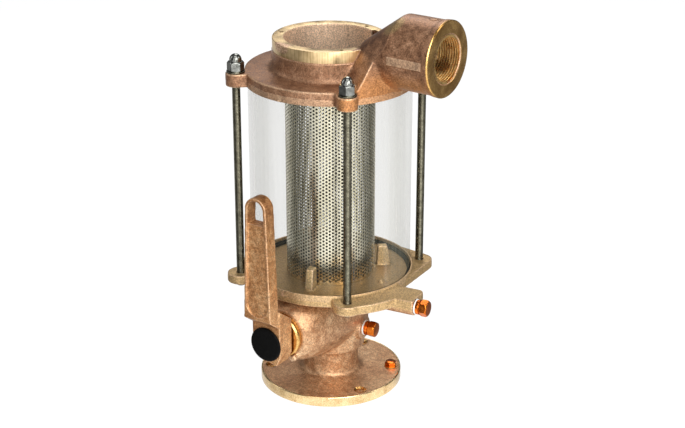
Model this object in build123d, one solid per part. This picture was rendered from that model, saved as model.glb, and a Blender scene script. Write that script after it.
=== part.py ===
from build123d import *
import os
from math import cos, radians, sin, sqrt, tan

# A marine sea strainer on a seacock.  From the hull upwards: a mounting flange
# with a screwed tail, a quarter-turn ball valve, the strainer base, a clear
# sight tube held by four tie rods, and the head with the side outlet.
# Millimetres.  The origin is the centre of the mounting flange's lower face,
# +Z runs up the strainer, +X is the outlet's direction and -Y the valve stem's.

# ---- driving dimensions ----
ROD_CIRCLE_R = 90.0          # tie rods, from the strainer's axis
ROD_R = 7.94 / 2             # 5/16 inch rod
ROD_AZIMUTHS = (45, 135, 225, 315)

FLANGE_R = 70.9              # mounting flange
FLANGE_T = 10.1
FLANGE_HOLE_R = 4.4
FLANGE_HOLE_CIRCLE_R = 60.8
FLANGE_HOLE_AZIMUTHS = (-27, 93, 213)
BONDING_AZIMUTH = 32
BONDING_R = 3.2
BONDING_FLATS = 10.5
BONDING_WASHER_R = 6.5
BONDING_WASHER_T = 0.8
BONDING_HEAD_H = 4.2
TAIL_R = 27.4                # neck between flange and valve body
PORT_R = 19.0                # water way of a 1 1/2 inch valve
INLET_R = 19.4
BODY_FOOT_R = 34.0
BODY_BOTTOM = 38.0           # underside of the valve body

STEM_Z = 77.6                # height of the ball and stem
BALL_R = 28.5
CAVITY_R = 30.5              # the body's bore for ball and seats
CHAMBER_R = 39.0             # rounded outside of the ball chamber
SEAT_NEAR = 17.0             # a seat's faces, from the ball's centre
SEAT_FAR = 27.0
SEAT_RUN = 0.05              # clearance of the ball in its seats
STEM_R = 9.0
SQUARE = 11.0                # stem's squared end
SCREW_R = 3.0
STEM_TANG_T = 6.0
TANG_DEPTH = 5.5
STEM_BOSS_FRONT = 80.0       # distances along -Y, from the strainer's axis
BONNET_R = 22.0
BONNET_BACK = 60.0
BONNET_FRONT = 86.4
STOP_R = 25.0                # cast quarter-turn stop on the stem boss
STOP_AZIMUTH = -56.0
HUB_BACK = 88.2
HUB_FRONT = 107.5
ARM_FRONT = 121.0

HUB_R = 16.2                 # lever
ARM_BOTTOM = 108.0
ARM_FOOT = 98.0              # where the arm's underside runs out on the hub's face
ARM_TOP = 231.5
ARM_HALF_WIDTH_LOW = 15.6
ARM_HALF_WIDTH_HIGH = 11.8
HUB_SHOULDER = 115.5         # where the hub's sloping top meets the arm
HUB_BACK_TOP = 101.0
PANEL_DEPTH = 2.0            # recessed panel in the lever's face
PANEL_RIM = 3.0
SLOT_LENGTH = 24.0
CAP_R = 17.3
COUNTERBORE_R = 12.0
COUNTERBORE_DEPTH = 8.0

PLATE_R = 81.2               # strainer base
PLATE_BOTTOM = 112.2
PLATE_TOP = 124.4
FLOOR_Z = 118.2              # recessed floor that carries the sight tube's gasket
LUG_TOP = 121.7
BASE_LUG_R = 13.1
FLARED_LUGS = (45, 135)
STRAIGHT_LUGS = (225, 315)
SHELF_R = 101.0              # low shelf between the front lug and the drain boss
SHELF_START = -47.0
SHELF_END = -6.0
PLUG_AZIMUTH = 8.0           # both plugs point this way
DRAIN_END = (112.5, -19.0, 113.2)   # centre of the drain boss's outer face
DRAIN_BOSS_R = 9.0
DRAIN_BOSS_LENGTH = 44.0
DRAIN_BOSS_BACK = 20.5       # how far the boss widens behind the plug's axis
DRAIN_BOSS_CORNER = 3.5
DRAIN_HOLE = (60.0, 2.0)
SERVICE_Z = 60.5
SERVICE_END = 38.0
SERVICE_THREAD_LENGTH = 7.0
SERVICE_BOSS_R = 12.0
FIN_AZIMUTHS = (44, 164, 284)
FIN_INNER_R = 46.0
FIN_OUTER_R = 60.5
FIN_TOP_LENGTH = 9.0
FIN_TOP = 139.5
FIN_T = 7.6

GLASS_R = 78.75              # sight tube
GLASS_WALL = 6.0
GASKET_T = 2.3               # gaskets at both ends of the tube, with a thin outer lip
GASKET_R = 79.5
GASKET_INNER_R = 71.2
RECESS_R = 79.6

BASKET_R = 43.4              # basket
BASKET_WALL = 0.8
BASKET_BOTTOM = FLOOR_Z + 0.3
BASKET_TOP = 330.0
BASKET_FLOOR_UP = 6.0
BASKET_RING_H = 9.0
BASKET_RING_T = 1.4
BAIL_R = 1.25
BAIL_RISE = 11.0

HEAD_BOTTOM = 313.6          # head
HEAD_TOP = 326.7
HEAD_RECESS_Z = 319.8        # roof of the head's recess for the sight tube
HEAD_LUG_R = 10.0
NECK_R = 55.3
NECK_FOOT = 2.5
RIM_BOTTOM = 345.6
RIM_TOP = 356.9
RIM_R = 54.7
NECK_BORE_R = 43.9
POCKET_R = 48.0
POCKET_X = 21.0
POCKET_Y = -20.0
WINDOW_BOTTOM = 320.0
RIM_HOLE_CIRCLE_R = 48.3
RIM_HOLE_R = 2.0
RIM_HOLE_DEPTH = 9.0
RIM_HOLE_AZIMUTHS = (-42, 78, 198)

OUTLET_Z = 356.0             # outlet boss
OUTLET_END = 129.3
BOSS_R = 35.0
BOSS_COLLAR_R = 35.9
BOSS_COLLAR_LENGTH = 6.0
OUTLET_BORE_R = 22.6
OUTLET_THREAD_LENGTH = 26.0
OUTLET_INNER_R = 20.0
OUTLET_WAY_X = 70.0           # where the outlet's bore opens into the hood
HOOD_NEAR_Z = 356.0          # roof of the hood's inner end
HOOD_NEAR_X = 35.0           # sloping hood between neck and outlet boss
HOOD_FAR_X = 84.0
HOOD_NEAR_ARC_R = 26.0
HOOD_NEAR_SLOPE = 50.0
HOOD_FAR_SLOPE = 60.0
HOOD_WALL = 6.5

NUT_FLATS = 14.3             # acorn nuts and washers
NUT_HEX_H = 9.0
NUT_DOME_R = 5.9
NUT_DOME_RISE = 1.4
WASHER_R = 8.9
WASHER_T = 1.6
ROD_IN_BASE = 14.0           # screwed depth of a rod in its base lug
ROD_IN_NUT = 9.0

PLUG_THREAD_R = 6.85         # 1/4 inch pipe plugs
PLUG_THREAD_LENGTH = 10.0
PLUG_COLLAR = 5.5
PLUG_COLLAR_R = 7.2
PLUG_GROOVE_R = 6.0          # narrow groove between collar and head
PLUG_GROOVE_W = 0.8
PLUG_FLATS = 14.3
PLUG_HEAD_H = 7.5

RUN = 0.05                   # a running fit's radial clearance


# ---- helpers ----
def lift(shape, z):
    return Pos(0, 0, z) * shape


def disc(radius, z_low, z_high):
    """An upright cylinder between two heights."""
    return Pos(0, 0, (z_low + z_high) / 2) * Cylinder(radius, z_high - z_low)


def ring(outer, inner, z_low, z_high):
    return disc(outer, z_low, z_high) - disc(inner, z_low - 1, z_high + 1)


def polar(radius, azimuth, z=0.0):
    """A point at an azimuth in degrees, counted from +X towards +Y."""
    angle = radians(azimuth)
    return (radius * cos(angle), radius * sin(angle), z)


def stem_place(shape):
    """Turn a shape built along +Z from the origin so that it points along -Y from the ball."""
    return Pos(0, 0, STEM_Z) * Rot(90, 0, 0) * shape


def outlet_place(shape):
    """Turn a shape built along +Z from the origin so that it points along +X at the outlet's height."""
    return Pos(0, 0, OUTLET_Z) * Rot(0, 90, 0) * shape


def plug_place(shape, point):
    """Put a shape built along +Z at a point, pointing outwards in the plugs' direction."""
    return Pos(*point) * Rot(0, 0, PLUG_AZIMUTH) * Rot(0, 90, 0) * shape


def hexagon(flats):
    return RegularPolygon(flats / sqrt(3), 6)


def prism(sketch, z_low, z_high):
    return extrude(lift(sketch, z_low), z_high - z_low)


def block(low, high):
    """A box between two corners."""
    size = [b - a for a, b in zip(low, high)]
    middle = [(a + b) / 2 for a, b in zip(low, high)]
    return Pos(*middle) * Box(*size)


# ---- mounting flange and tail ----
def make_mounting_flange():
    spigot_top = STEM_Z - SEAT_FAR
    shape = disc(FLANGE_R, 0, FLANGE_T) + disc(TAIL_R, 0, BODY_BOTTOM)
    shape = fillet(shape.edges().filter_by(GeomType.CIRCLE).filter_by(
        lambda e: abs(e.radius - TAIL_R) < 0.01 and abs(e.center().Z - FLANGE_T) < 0.01), 6.0)
    shape += disc(CAVITY_R - RUN, BODY_BOTTOM, spigot_top)
    shape -= disc(INLET_R, -1, spigot_top + 1)
    for azimuth in FLANGE_HOLE_AZIMUTHS:
        spot = Pos(*polar(FLANGE_HOLE_CIRCLE_R, azimuth))
        shape -= spot * disc(FLANGE_HOLE_R, -1, FLANGE_T + 1)
        shape -= spot * Pos(0, 0, FLANGE_T - 1.2) * Cone(FLANGE_HOLE_R, FLANGE_HOLE_R + 1.3, 2.6)
    spot = Pos(*polar(FLANGE_HOLE_CIRCLE_R, BONDING_AZIMUTH))
    shape -= spot * disc(BONDING_R, -1, FLANGE_T + 1)
    return shape


def make_bonding_bolt():
    seat = FLANGE_T + BONDING_WASHER_T
    shape = disc(BONDING_R - RUN, 1.0, seat + 0.5)
    shape += prism(hexagon(BONDING_FLATS), seat, seat + BONDING_HEAD_H)
    return Pos(*polar(FLANGE_HOLE_CIRCLE_R, BONDING_AZIMUTH)) * Rot(0, 0, 20) * shape


def make_bonding_washer():
    shape = ring(BONDING_WASHER_R, BONDING_R, FLANGE_T, FLANGE_T + BONDING_WASHER_T)
    return Pos(*polar(FLANGE_HOLE_CIRCLE_R, BONDING_AZIMUTH)) * shape


SERVICE_POINT = (*polar(SERVICE_END, PLUG_AZIMUTH)[:2], SERVICE_Z)


# ---- strainer base and valve body ----
def straight_lug(radius, azimuth, z_low, z_high):
    """A lug round one tie rod, with parallel sides back to the plate."""
    lug = Pos(*polar(ROD_CIRCLE_R, azimuth)) * disc(radius, z_low, z_high)
    bridge = block((PLATE_R - 10, -radius, z_low), (ROD_CIRCLE_R, radius, z_high))
    return lug + Rot(0, 0, azimuth) * bridge


def flared_lug(radius, azimuth, z_low, z_high):
    """A lug round one tie rod, with sides tangent to the plate's edge."""
    spot = Pos(*polar(ROD_CIRCLE_R, azimuth))
    outline = make_hull([Circle(PLATE_R - 0.2).edge(), (spot * Circle(radius)).edge()])
    wedge = block((20, -60, z_low - 1), (120, 60, z_high + 1))
    return prism(outline, z_low, z_high) & (Rot(0, 0, azimuth) * wedge)


def revolved(points):
    """Solid of revolution about Z.  The outer line is smooth through points of radius and height."""
    line = Spline(*[(r, 0, z) for r, z in points])
    low, high = points[0][1], points[-1][1]
    close = Polyline((points[-1][0], 0, high), (0, 0, high), (0, 0, low), (points[0][0], 0, low))
    return revolve(make_face(line.edges() + close.edges()), Axis.Z)


def make_valve_body():
    """The outside of the ball chamber, its trunk up to the plate and its stem boss."""
    body = Pos(0, 0, STEM_Z) * Sphere(CHAMBER_R)
    body += disc(BODY_FOOT_R, BODY_BOTTOM, STEM_Z)
    body += revolved([(37.0, STEM_Z), (36.5, 92.0), (39.0, 104.0), (48.0, PLATE_BOTTOM + 1.0)])
    boss_line = [(38.5, 0), (37.8, 30.0), (35.5, 55.0), (32.0, 68.0), (24.5, STEM_BOSS_FRONT)]
    body += stem_place(revolved(boss_line))
    stop_point = polar(STOP_R, STOP_AZIMUTH)
    stop = block((-3.5, -2.5, 60), (3.5, 3.0, STEM_BOSS_FRONT + 5.5))
    body += stem_place(Pos(*stop_point) * Rot(0, 0, STOP_AZIMUTH - 90) * stop)
    return body & disc(120, BODY_BOTTOM, PLATE_BOTTOM + 1.0)


def make_base_casting():
    shape = disc(PLATE_R, PLATE_BOTTOM, PLATE_TOP)
    for azimuth in FLARED_LUGS:
        shape += flared_lug(BASE_LUG_R, azimuth, PLATE_BOTTOM, LUG_TOP)
    for azimuth in STRAIGHT_LUGS:
        shape += straight_lug(BASE_LUG_R, azimuth, PLATE_BOTTOM, LUG_TOP)
    # low shelf, an annular sector at the lugs' height
    start, middle, end = (polar(SHELF_R, a) for a in (SHELF_START, (SHELF_START + SHELF_END) / 2, SHELF_END))
    sector = make_face([Line((0, 0, 0), start), ThreePointArc(start, middle, end), Line(end, (0, 0, 0))])
    shape += prism(sector, PLATE_BOTTOM, LUG_TOP)
    shape += make_drain_boss()
    shape += make_valve_body()
    shape += plug_place(disc(SERVICE_BOSS_R, 5, SERVICE_END), (0, 0, SERVICE_Z))
    shape -= disc(RECESS_R, FLOOR_Z, PLATE_TOP + 1)
    for azimuth in FIN_AZIMUTHS:
        shape += make_fin(azimuth)
    # water way, ball cavity, stem bore
    shape -= disc(PORT_R, BODY_BOTTOM, PLATE_TOP + 1)
    shape -= disc(CAVITY_R, BODY_BOTTOM - 1, STEM_Z + SEAT_FAR)
    shape -= stem_place(disc(STEM_R + 3.0, 10, STEM_BOSS_FRONT + 1))
    # plug holes and the drain passage
    shape -= plug_place(disc(PLUG_THREAD_R, -PLUG_THREAD_LENGTH - 2, 1), DRAIN_END)
    inner_end = Vector(*DRAIN_END) - Vector(*polar(PLUG_THREAD_LENGTH, PLUG_AZIMUTH))
    run = Vector(DRAIN_HOLE[0], DRAIN_HOLE[1], DRAIN_END[2] + 1) - inner_end
    passage = Cylinder(3.0, run.length, align=(Align.CENTER, Align.CENTER, Align.MIN))
    shape -= Plane(origin=inner_end, z_dir=run) * passage
    shape -= Pos(DRAIN_HOLE[0], DRAIN_HOLE[1], 0) * disc(3.6, DRAIN_END[2], PLATE_TOP + 1)
    shape -= plug_place(disc(PLUG_THREAD_R, 20, SERVICE_END + 1), (0, 0, SERVICE_Z))
    # tapped holes for the tie rods
    for azimuth in ROD_AZIMUTHS:
        shape -= Pos(*polar(ROD_CIRCLE_R, azimuth)) * disc(ROD_R, LUG_TOP - ROD_IN_BASE - 1, PLATE_TOP + 1)
    return shape


def make_drain_boss():
    """The drain's boss at the shelf's end: flat on top, round below, wider behind the plug."""
    boss = Cylinder(DRAIN_BOSS_R, DRAIN_BOSS_LENGTH, align=(Align.CENTER, Align.CENTER, Align.MAX))
    top, bottom = DRAIN_END[2] - LUG_TOP, DRAIN_END[2] - PLATE_BOTTOM
    plan = Polyline((top, -DRAIN_BOSS_R, 0), (top, DRAIN_BOSS_BACK - DRAIN_BOSS_CORNER, 0),
                    (top, DRAIN_BOSS_BACK, -DRAIN_BOSS_CORNER), (top, DRAIN_BOSS_BACK, -DRAIN_BOSS_LENGTH),
                    (top, -DRAIN_BOSS_R, -DRAIN_BOSS_LENGTH), close=True)
    boss += extrude(make_face(plan.edges()), bottom - top, dir=(1, 0, 0))
    return plug_place(boss, DRAIN_END) & disc(160, PLATE_BOTTOM - 20, LUG_TOP)


def make_fin(azimuth):
    """A tapered guide fin that centres the basket's foot."""
    low, high = FLOOR_Z - 1, FIN_TOP
    inner_top = FIN_INNER_R + 1.5
    outline = Polyline((FIN_INNER_R, 0, low), (FIN_OUTER_R, 0, low), (inner_top + FIN_TOP_LENGTH, 0, high),
                       (inner_top, 0, high), close=True)
    fin = extrude(make_face(outline.edges()), FIN_T / 2, dir=(0, 1, 0), both=True)
    return Rot(0, 0, azimuth) * fin


def make_drain_plug():
    return plug_place(pipe_plug(PLUG_THREAD_LENGTH), DRAIN_END)


def make_service_plug():
    return plug_place(pipe_plug(SERVICE_THREAD_LENGTH), SERVICE_POINT)


def pipe_plug(thread_length):
    """A hexagon-headed pipe plug along +Z, its thread below the origin."""
    shape = disc(PLUG_THREAD_R - RUN, -thread_length, 1.5)
    shape += disc(PLUG_COLLAR_R, 1.5, PLUG_COLLAR - PLUG_GROOVE_W) + disc(PLUG_GROOVE_R, 1.5, PLUG_COLLAR)
    head = prism(hexagon(PLUG_FLATS), PLUG_COLLAR, PLUG_COLLAR + PLUG_HEAD_H)
    crown = Pos(0, 0, PLUG_COLLAR + PLUG_HEAD_H / 2) * Cone(12.5, 8.0, PLUG_HEAD_H)
    return shape + (head & crown)


def make_tape(point):
    """A few turns of thread tape showing at the plug's root."""
    return plug_place(ring(PLUG_THREAD_R + 0.9, PLUG_THREAD_R + RUN, 0.0, 1.4), point)


# ---- valve inside ----
def make_ball():
    shape = Pos(0, 0, STEM_Z) * Sphere(BALL_R)
    shape -= disc(PORT_R, STEM_Z - BALL_R - 1, STEM_Z + BALL_R + 1)
    half = STEM_TANG_T / 2 + RUN
    slot = block((-half, -BALL_R - 1, STEM_Z - 20), (half, -BALL_R + TANG_DEPTH, STEM_Z + 20))
    return shape - slot


def make_seat(side):
    """A seat ring above (+1) or below (-1) the ball."""
    shape = ring(CAVITY_R - 0.1, PORT_R, SEAT_NEAR, SEAT_FAR) - Sphere(BALL_R + SEAT_RUN)
    return Pos(0, 0, STEM_Z) * (shape if side > 0 else Rot(180, 0, 0) * shape)


def make_stem():
    """Stem along -Y: a tang in the ball, a collar, and squared end in the lever."""
    tang_start = BALL_R - TANG_DEPTH + 0.2
    body = disc(STEM_R, BALL_R + 1.0, HUB_BACK - 1.5)
    body += disc(STEM_R + 2.5, BALL_R + 6.0, BALL_R + 10.0)
    body += block((-SQUARE / 2, -SQUARE / 2, HUB_BACK - 2.0), (SQUARE / 2, SQUARE / 2, HUB_FRONT - 8.0))
    tang = block((-STEM_TANG_T / 2, -STEM_R, tang_start), (STEM_TANG_T / 2, STEM_R, BALL_R + 2.0))
    tang &= disc(STEM_R, tang_start - 1, BALL_R + 3)
    shape = body + tang
    shape -= disc(SCREW_R + RUN, HUB_FRONT - 24.0, HUB_FRONT)
    return stem_place(shape)


def make_stem_washer():
    return stem_place(ring(STEM_R + 2.7, STEM_R + RUN, BALL_R + 10.3, BALL_R + 12.3))


def make_stem_packing():
    return stem_place(ring(STEM_R + 2.9, STEM_R + RUN, BALL_R + 12.6, BONNET_BACK - 0.1))


def make_bonnet():
    """Gland nut that closes the stem bore and presses on the packing."""
    shape = disc(STEM_R + 2.95, BONNET_BACK, STEM_BOSS_FRONT) + disc(BONNET_R, STEM_BOSS_FRONT, BONNET_FRONT)
    rim = shape.edges().filter_by(GeomType.CIRCLE).group_by(Axis.Z)[-1]
    shape = chamfer(rim, 1.5) - disc(STEM_R + RUN, BONNET_BACK - 1, BONNET_FRONT + 1)
    return stem_place(shape)


# ---- lever ----
def arm_outline(inset=0.0):
    """The arm's front outline in X and Z: straight tapering sides under a round top.

    The inset outline, for the panel in the arm's face, has a round bottom as well.
    """
    low, high = ARM_HALF_WIDTH_LOW - inset, ARM_HALF_WIDTH_HIGH - inset
    top = ARM_TOP - inset
    shoulder = top - high
    bottom = ARM_BOTTOM + inset + low if inset else ARM_BOTTOM
    right, left = (high, 0, shoulder), (-high, 0, shoulder)
    roof = ThreePointArc(right, (0, 0, top), left)
    sides = [Line((low, 0, bottom), right), roof, Line(left, (-low, 0, bottom))]
    if not inset:
        return sides + [Line((-low, 0, bottom), (low, 0, bottom))]
    return sides + [ThreePointArc((-low, 0, bottom), (0, 0, bottom - low), (low, 0, bottom))]


def make_hub():
    """The lever's hub seen along the stem: round below, with a stop lug at its lower right."""
    upright = block((-HUB_R, 0, HUB_BACK), (HUB_R, HUB_SHOULDER - STEM_Z, HUB_FRONT))
    lug = Polyline((0, 0, HUB_BACK), (0, -HUB_R - 2.0, HUB_BACK), (11.5, -HUB_R - 4.6, HUB_BACK),
                   (HUB_R, -11.0, HUB_BACK), (HUB_R, 0, HUB_BACK), close=True)
    hub = upright + disc(HUB_R, HUB_BACK, HUB_FRONT)
    hub += extrude(make_face(lug.edges()), HUB_FRONT - HUB_BACK, dir=(0, 0, 1))
    return stem_place(hub)


def make_lever_handle():
    front = (0, -1, 0)
    arm = extrude(Pos(0, -HUB_FRONT, 0) * make_face(arm_outline()), ARM_FRONT - HUB_FRONT, dir=front)
    wide = HUB_R + 1
    slope = Polyline((-wide, -HUB_BACK + 1, HUB_BACK_TOP), (-wide, -HUB_FRONT, HUB_SHOULDER),
                     (-wide, -HUB_FRONT, ARM_TOP), (-wide, -HUB_BACK + 1, ARM_TOP), close=True)
    hub = make_hub() - extrude(make_face(slope.edges()), 2 * wide, dir=(1, 0, 0))
    # the joint between arm and hub, the arm's full width
    web = extrude(Pos(0, -HUB_FRONT + 3.0, 0) * make_face(arm_outline()), 6.0, dir=front)
    web &= block((-20, -HUB_FRONT - 3, ARM_BOTTOM), (20, -HUB_FRONT + 3, HUB_SHOULDER - 2))
    left = -ARM_HALF_WIDTH_LOW
    foot = Polyline((left, -ARM_FRONT, ARM_BOTTOM), (left, -HUB_FRONT, ARM_FOOT),
                    (left, -HUB_FRONT, ARM_BOTTOM), close=True)
    foot = extrude(make_face(foot.edges()), 2 * ARM_HALF_WIDTH_LOW, dir=(1, 0, 0))
    shape = arm + hub + web + foot
    panel = make_face(arm_outline(PANEL_RIM))
    shape -= extrude(Pos(0, -ARM_FRONT + PANEL_DEPTH, 0) * panel, PANEL_DEPTH + 1, dir=front)
    slot_bottom = ARM_TOP - PANEL_RIM - SLOT_LENGTH
    slot = extrude(Pos(0, -HUB_FRONT + 1, 0) * panel, ARM_FRONT, dir=front)
    shape -= slot & block((-20, -ARM_FRONT - 2, slot_bottom), (20, -HUB_FRONT + 2, ARM_TOP))
    square = SQUARE + 2 * RUN
    shape -= stem_place(block((-square / 2, -square / 2, HUB_BACK - 1), (square / 2, square / 2, HUB_FRONT)))
    return shape - stem_place(disc(COUNTERBORE_R, HUB_FRONT - COUNTERBORE_DEPTH, HUB_FRONT + 1))


def make_handle_screw():
    shape = disc(SCREW_R, HUB_FRONT - 23.0, HUB_FRONT - 6.4)
    shape += prism(hexagon(10.0), HUB_FRONT - 6.4, HUB_FRONT - 2.6)
    return stem_place(shape)


def make_handle_washer():
    return stem_place(ring(9.5, SCREW_R + RUN, HUB_FRONT - 8.0, HUB_FRONT - 6.4))


def make_handle_cap():
    """Push-in plastic cap over the handle screw."""
    shape = disc(CAP_R, HUB_FRONT, HUB_FRONT + 2.2)
    rim = shape.edges().filter_by(GeomType.CIRCLE).group_by(Axis.Z)[-1]
    shape = fillet(rim, 1.2)
    return stem_place(shape + ring(COUNTERBORE_R - RUN, COUNTERBORE_R - 1.3, HUB_FRONT - 2.0, HUB_FRONT))


# ---- sight tube, gaskets, tie rods ----
def make_sight_glass():
    return ring(GLASS_R, GLASS_R - GLASS_WALL, FLOOR_Z + GASKET_T, HEAD_RECESS_Z - GASKET_T)


def make_lower_gasket():
    lip = ring(GASKET_R, GLASS_R + RUN, FLOOR_Z, PLATE_TOP)
    return ring(GASKET_R, GASKET_INNER_R, FLOOR_Z, FLOOR_Z + GASKET_T) + lip


def make_upper_gasket():
    lip = ring(GASKET_R, GLASS_R + RUN, HEAD_BOTTOM, HEAD_RECESS_Z)
    return ring(GASKET_R, GASKET_INNER_R, HEAD_RECESS_Z - GASKET_T, HEAD_RECESS_Z) + lip


def at_rods(shape):
    """One copy of a shape at each tie rod, as separate solids."""
    return Compound(children=[Pos(*polar(ROD_CIRCLE_R, a)) * shape for a in ROD_AZIMUTHS])


def make_tie_rods():
    top = HEAD_TOP + WASHER_T + ROD_IN_NUT
    return at_rods(disc(ROD_R - RUN, LUG_TOP - ROD_IN_BASE, top))


def make_rod_washers():
    return at_rods(ring(WASHER_R, ROD_R + 0.15, HEAD_TOP, HEAD_TOP + WASHER_T))


def make_acorn_nuts():
    low = HEAD_TOP + WASHER_T
    top = low + NUT_HEX_H
    crown = Pos(0, 0, low + NUT_HEX_H / 2) * Cone(11.5, 7.4, NUT_HEX_H)
    nut = prism(hexagon(NUT_FLATS), low, top) & crown
    dome_z = top + NUT_DOME_RISE
    dome = disc(NUT_DOME_R, top - 0.5, dome_z) + Pos(0, 0, dome_z) * Sphere(NUT_DOME_R)
    nut += dome & disc(NUT_DOME_R + 1, top - 0.5, top + 20)
    return at_rods(Rot(0, 0, 15) * (nut - disc(ROD_R, low - 1, low + ROD_IN_NUT)))


# ---- basket ----
def make_basket_shell():
    return ring(BASKET_R, BASKET_R - BASKET_WALL, BASKET_BOTTOM, BASKET_TOP)


def make_basket_bottom():
    low = BASKET_BOTTOM + BASKET_FLOOR_UP
    return disc(BASKET_R - BASKET_WALL, low, low + 1.0)


def make_basket_top_ring():
    outer = BASKET_R - BASKET_WALL
    return ring(outer, outer - BASKET_RING_T, BASKET_TOP - BASKET_RING_H, BASKET_TOP)


def make_basket_bail():
    """Folding wire handle across the basket's mouth."""
    reach = BASKET_R - BASKET_WALL - BASKET_RING_T - BAIL_R
    foot = BASKET_TOP - BASKET_RING_H / 2
    left, right = (-reach, 0, foot + 2), (reach, 0, foot + 2)
    bow = ThreePointArc(left, (0, 0, foot + BAIL_RISE), right)
    wire = Wire([Line((-reach, 0, foot), left), bow, Line(right, (reach, 0, foot))])
    return sweep(Plane(origin=wire @ 0, z_dir=wire % 0) * Circle(BAIL_R), path=wire)


# ---- head ----
def hood_section(x, arc_r, centre_z, slope, foot_z):
    """One end of the hood: a round roof whose sides run down tangent to it."""
    angle = radians(slope)
    touch_y, touch_z = arc_r * sin(angle), centre_z + arc_r * cos(angle)
    foot_y = touch_y + (touch_z - foot_z) / tan(angle)
    left, right = (x, -touch_y, touch_z), (x, touch_y, touch_z)
    foot_left, foot_right = (x, -foot_y, foot_z), (x, foot_y, foot_z)
    roof = ThreePointArc(left, (x, 0, centre_z + arc_r), right)
    return make_face([roof, Line(right, foot_right), Line(foot_right, foot_left), Line(foot_left, left)])


def make_hood(inset):
    """The hood's outside, or with an inset the water way inside it."""
    near_centre = HOOD_NEAR_Z - HOOD_NEAR_ARC_R
    foot = HEAD_BOTTOM + 1.0 + inset
    near = hood_section(HOOD_NEAR_X, HOOD_NEAR_ARC_R - inset, near_centre, HOOD_NEAR_SLOPE, foot)
    far = hood_section(HOOD_FAR_X, BOSS_R - inset, OUTLET_Z, HOOD_FAR_SLOPE, foot)
    return loft(Sketch() + [near, far], ruled=True)


def make_head_casting():
    shape = disc(PLATE_R, HEAD_BOTTOM, HEAD_TOP)
    for azimuth in ROD_AZIMUTHS:
        shape += straight_lug(HEAD_LUG_R, azimuth, HEAD_BOTTOM, HEAD_TOP)
    shape += Pos(0, 0, HEAD_TOP + NECK_FOOT / 2) * Cone(NECK_R + NECK_FOOT, NECK_R, NECK_FOOT)
    shape += disc(NECK_R, HEAD_TOP - 1, RIM_BOTTOM) + disc(RIM_R, RIM_BOTTOM - 1, RIM_TOP)
    # outside the plate's edge only the part of the hood within the boss's round is left
    shape += make_hood(0) & disc(PLATE_R, HEAD_BOTTOM, OUTLET_Z + BOSS_R)
    shape += make_hood(0) & outlet_place(disc(BOSS_R, HOOD_NEAR_X, HOOD_FAR_X))
    shape += outlet_place(disc(BOSS_R, HOOD_FAR_X - 0.1, OUTLET_END - 0.5))
    shape += outlet_place(disc(BOSS_COLLAR_R, OUTLET_END - BOSS_COLLAR_LENGTH, OUTLET_END))
    # bore, the pocket beside it and the hood's water way
    shape -= disc(NECK_BORE_R, HEAD_BOTTOM - 1, OUTLET_Z + BOSS_R + 5)
    shape -= disc(POCKET_R, WINDOW_BOTTOM, RIM_TOP + 1) & block((POCKET_X, POCKET_Y, 0), (60, 60, 400))
    water_way = make_hood(HOOD_WALL) & disc(PLATE_R - HOOD_WALL, WINDOW_BOTTOM, OUTLET_Z + BOSS_R)
    shape -= water_way
    shape -= outlet_place(disc(OUTLET_INNER_R, OUTLET_WAY_X, OUTLET_END))
    shape -= outlet_place(disc(OUTLET_BORE_R, OUTLET_END - OUTLET_THREAD_LENGTH, OUTLET_END + 1))
    # recess for the sight tube, rod holes and the lid's screw holes
    shape -= disc(RECESS_R, HEAD_BOTTOM - 1, HEAD_RECESS_Z)
    for azimuth in ROD_AZIMUTHS:
        shape -= Pos(*polar(ROD_CIRCLE_R, azimuth)) * disc(ROD_R + 0.35, HEAD_BOTTOM - 1, HEAD_TOP + 1)
    for azimuth in RIM_HOLE_AZIMUTHS:
        hole = disc(RIM_HOLE_R, RIM_TOP - RIM_HOLE_DEPTH, RIM_TOP + 1)
        shape -= Pos(*polar(RIM_HOLE_CIRCLE_R, azimuth)) * hole
    return shape


# ---- the assembly ----
parts = {
    "mounting_flange": make_mounting_flange(),
    "bonding_bolt": make_bonding_bolt(),
    "bonding_washer": make_bonding_washer(),
    "base_casting": make_base_casting(),
    "drain_plug": make_drain_plug(),
    "drain_plug_tape": make_tape(DRAIN_END),
    "service_plug": make_service_plug(),
    "service_plug_tape": make_tape(SERVICE_POINT),
    "ball": make_ball(),
    "seat_upper": make_seat(1),
    "seat_lower": make_seat(-1),
    "stem": make_stem(),
    "stem_thrust_washer": make_stem_washer(),
    "stem_packing": make_stem_packing(),
    "bonnet": make_bonnet(),
    "lever_handle": make_lever_handle(),
    "handle_screw": make_handle_screw(),
    "handle_washer": make_handle_washer(),
    "handle_cap": make_handle_cap(),
    "sight_glass": make_sight_glass(),
    "lower_gasket": make_lower_gasket(),
    "upper_gasket": make_upper_gasket(),
    "basket_shell": make_basket_shell(),
    "basket_bottom": make_basket_bottom(),
    "basket_top_ring": make_basket_top_ring(),
    "basket_bail": make_basket_bail(),
    "head_casting": make_head_casting(),
    "tie_rods": make_tie_rods(),
    "rod_washers": make_rod_washers(),
    "acorn_nuts": make_acorn_nuts(),
}

os.makedirs("parts", exist_ok=True)
for name, shape in parts.items():
    export_step(shape, f"parts/{name}.step")
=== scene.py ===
"""A clear-tube sea strainer on a quarter-turn seacock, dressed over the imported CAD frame.

Lengths in the shape code are millimetres in the frame's own axes: +Z up the
strainer, +X towards the outlet, -Y towards the valve's lever.
"""

import math

import bmesh
import bpy
import numpy as np
from mathutils import Matrix, Vector


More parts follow.
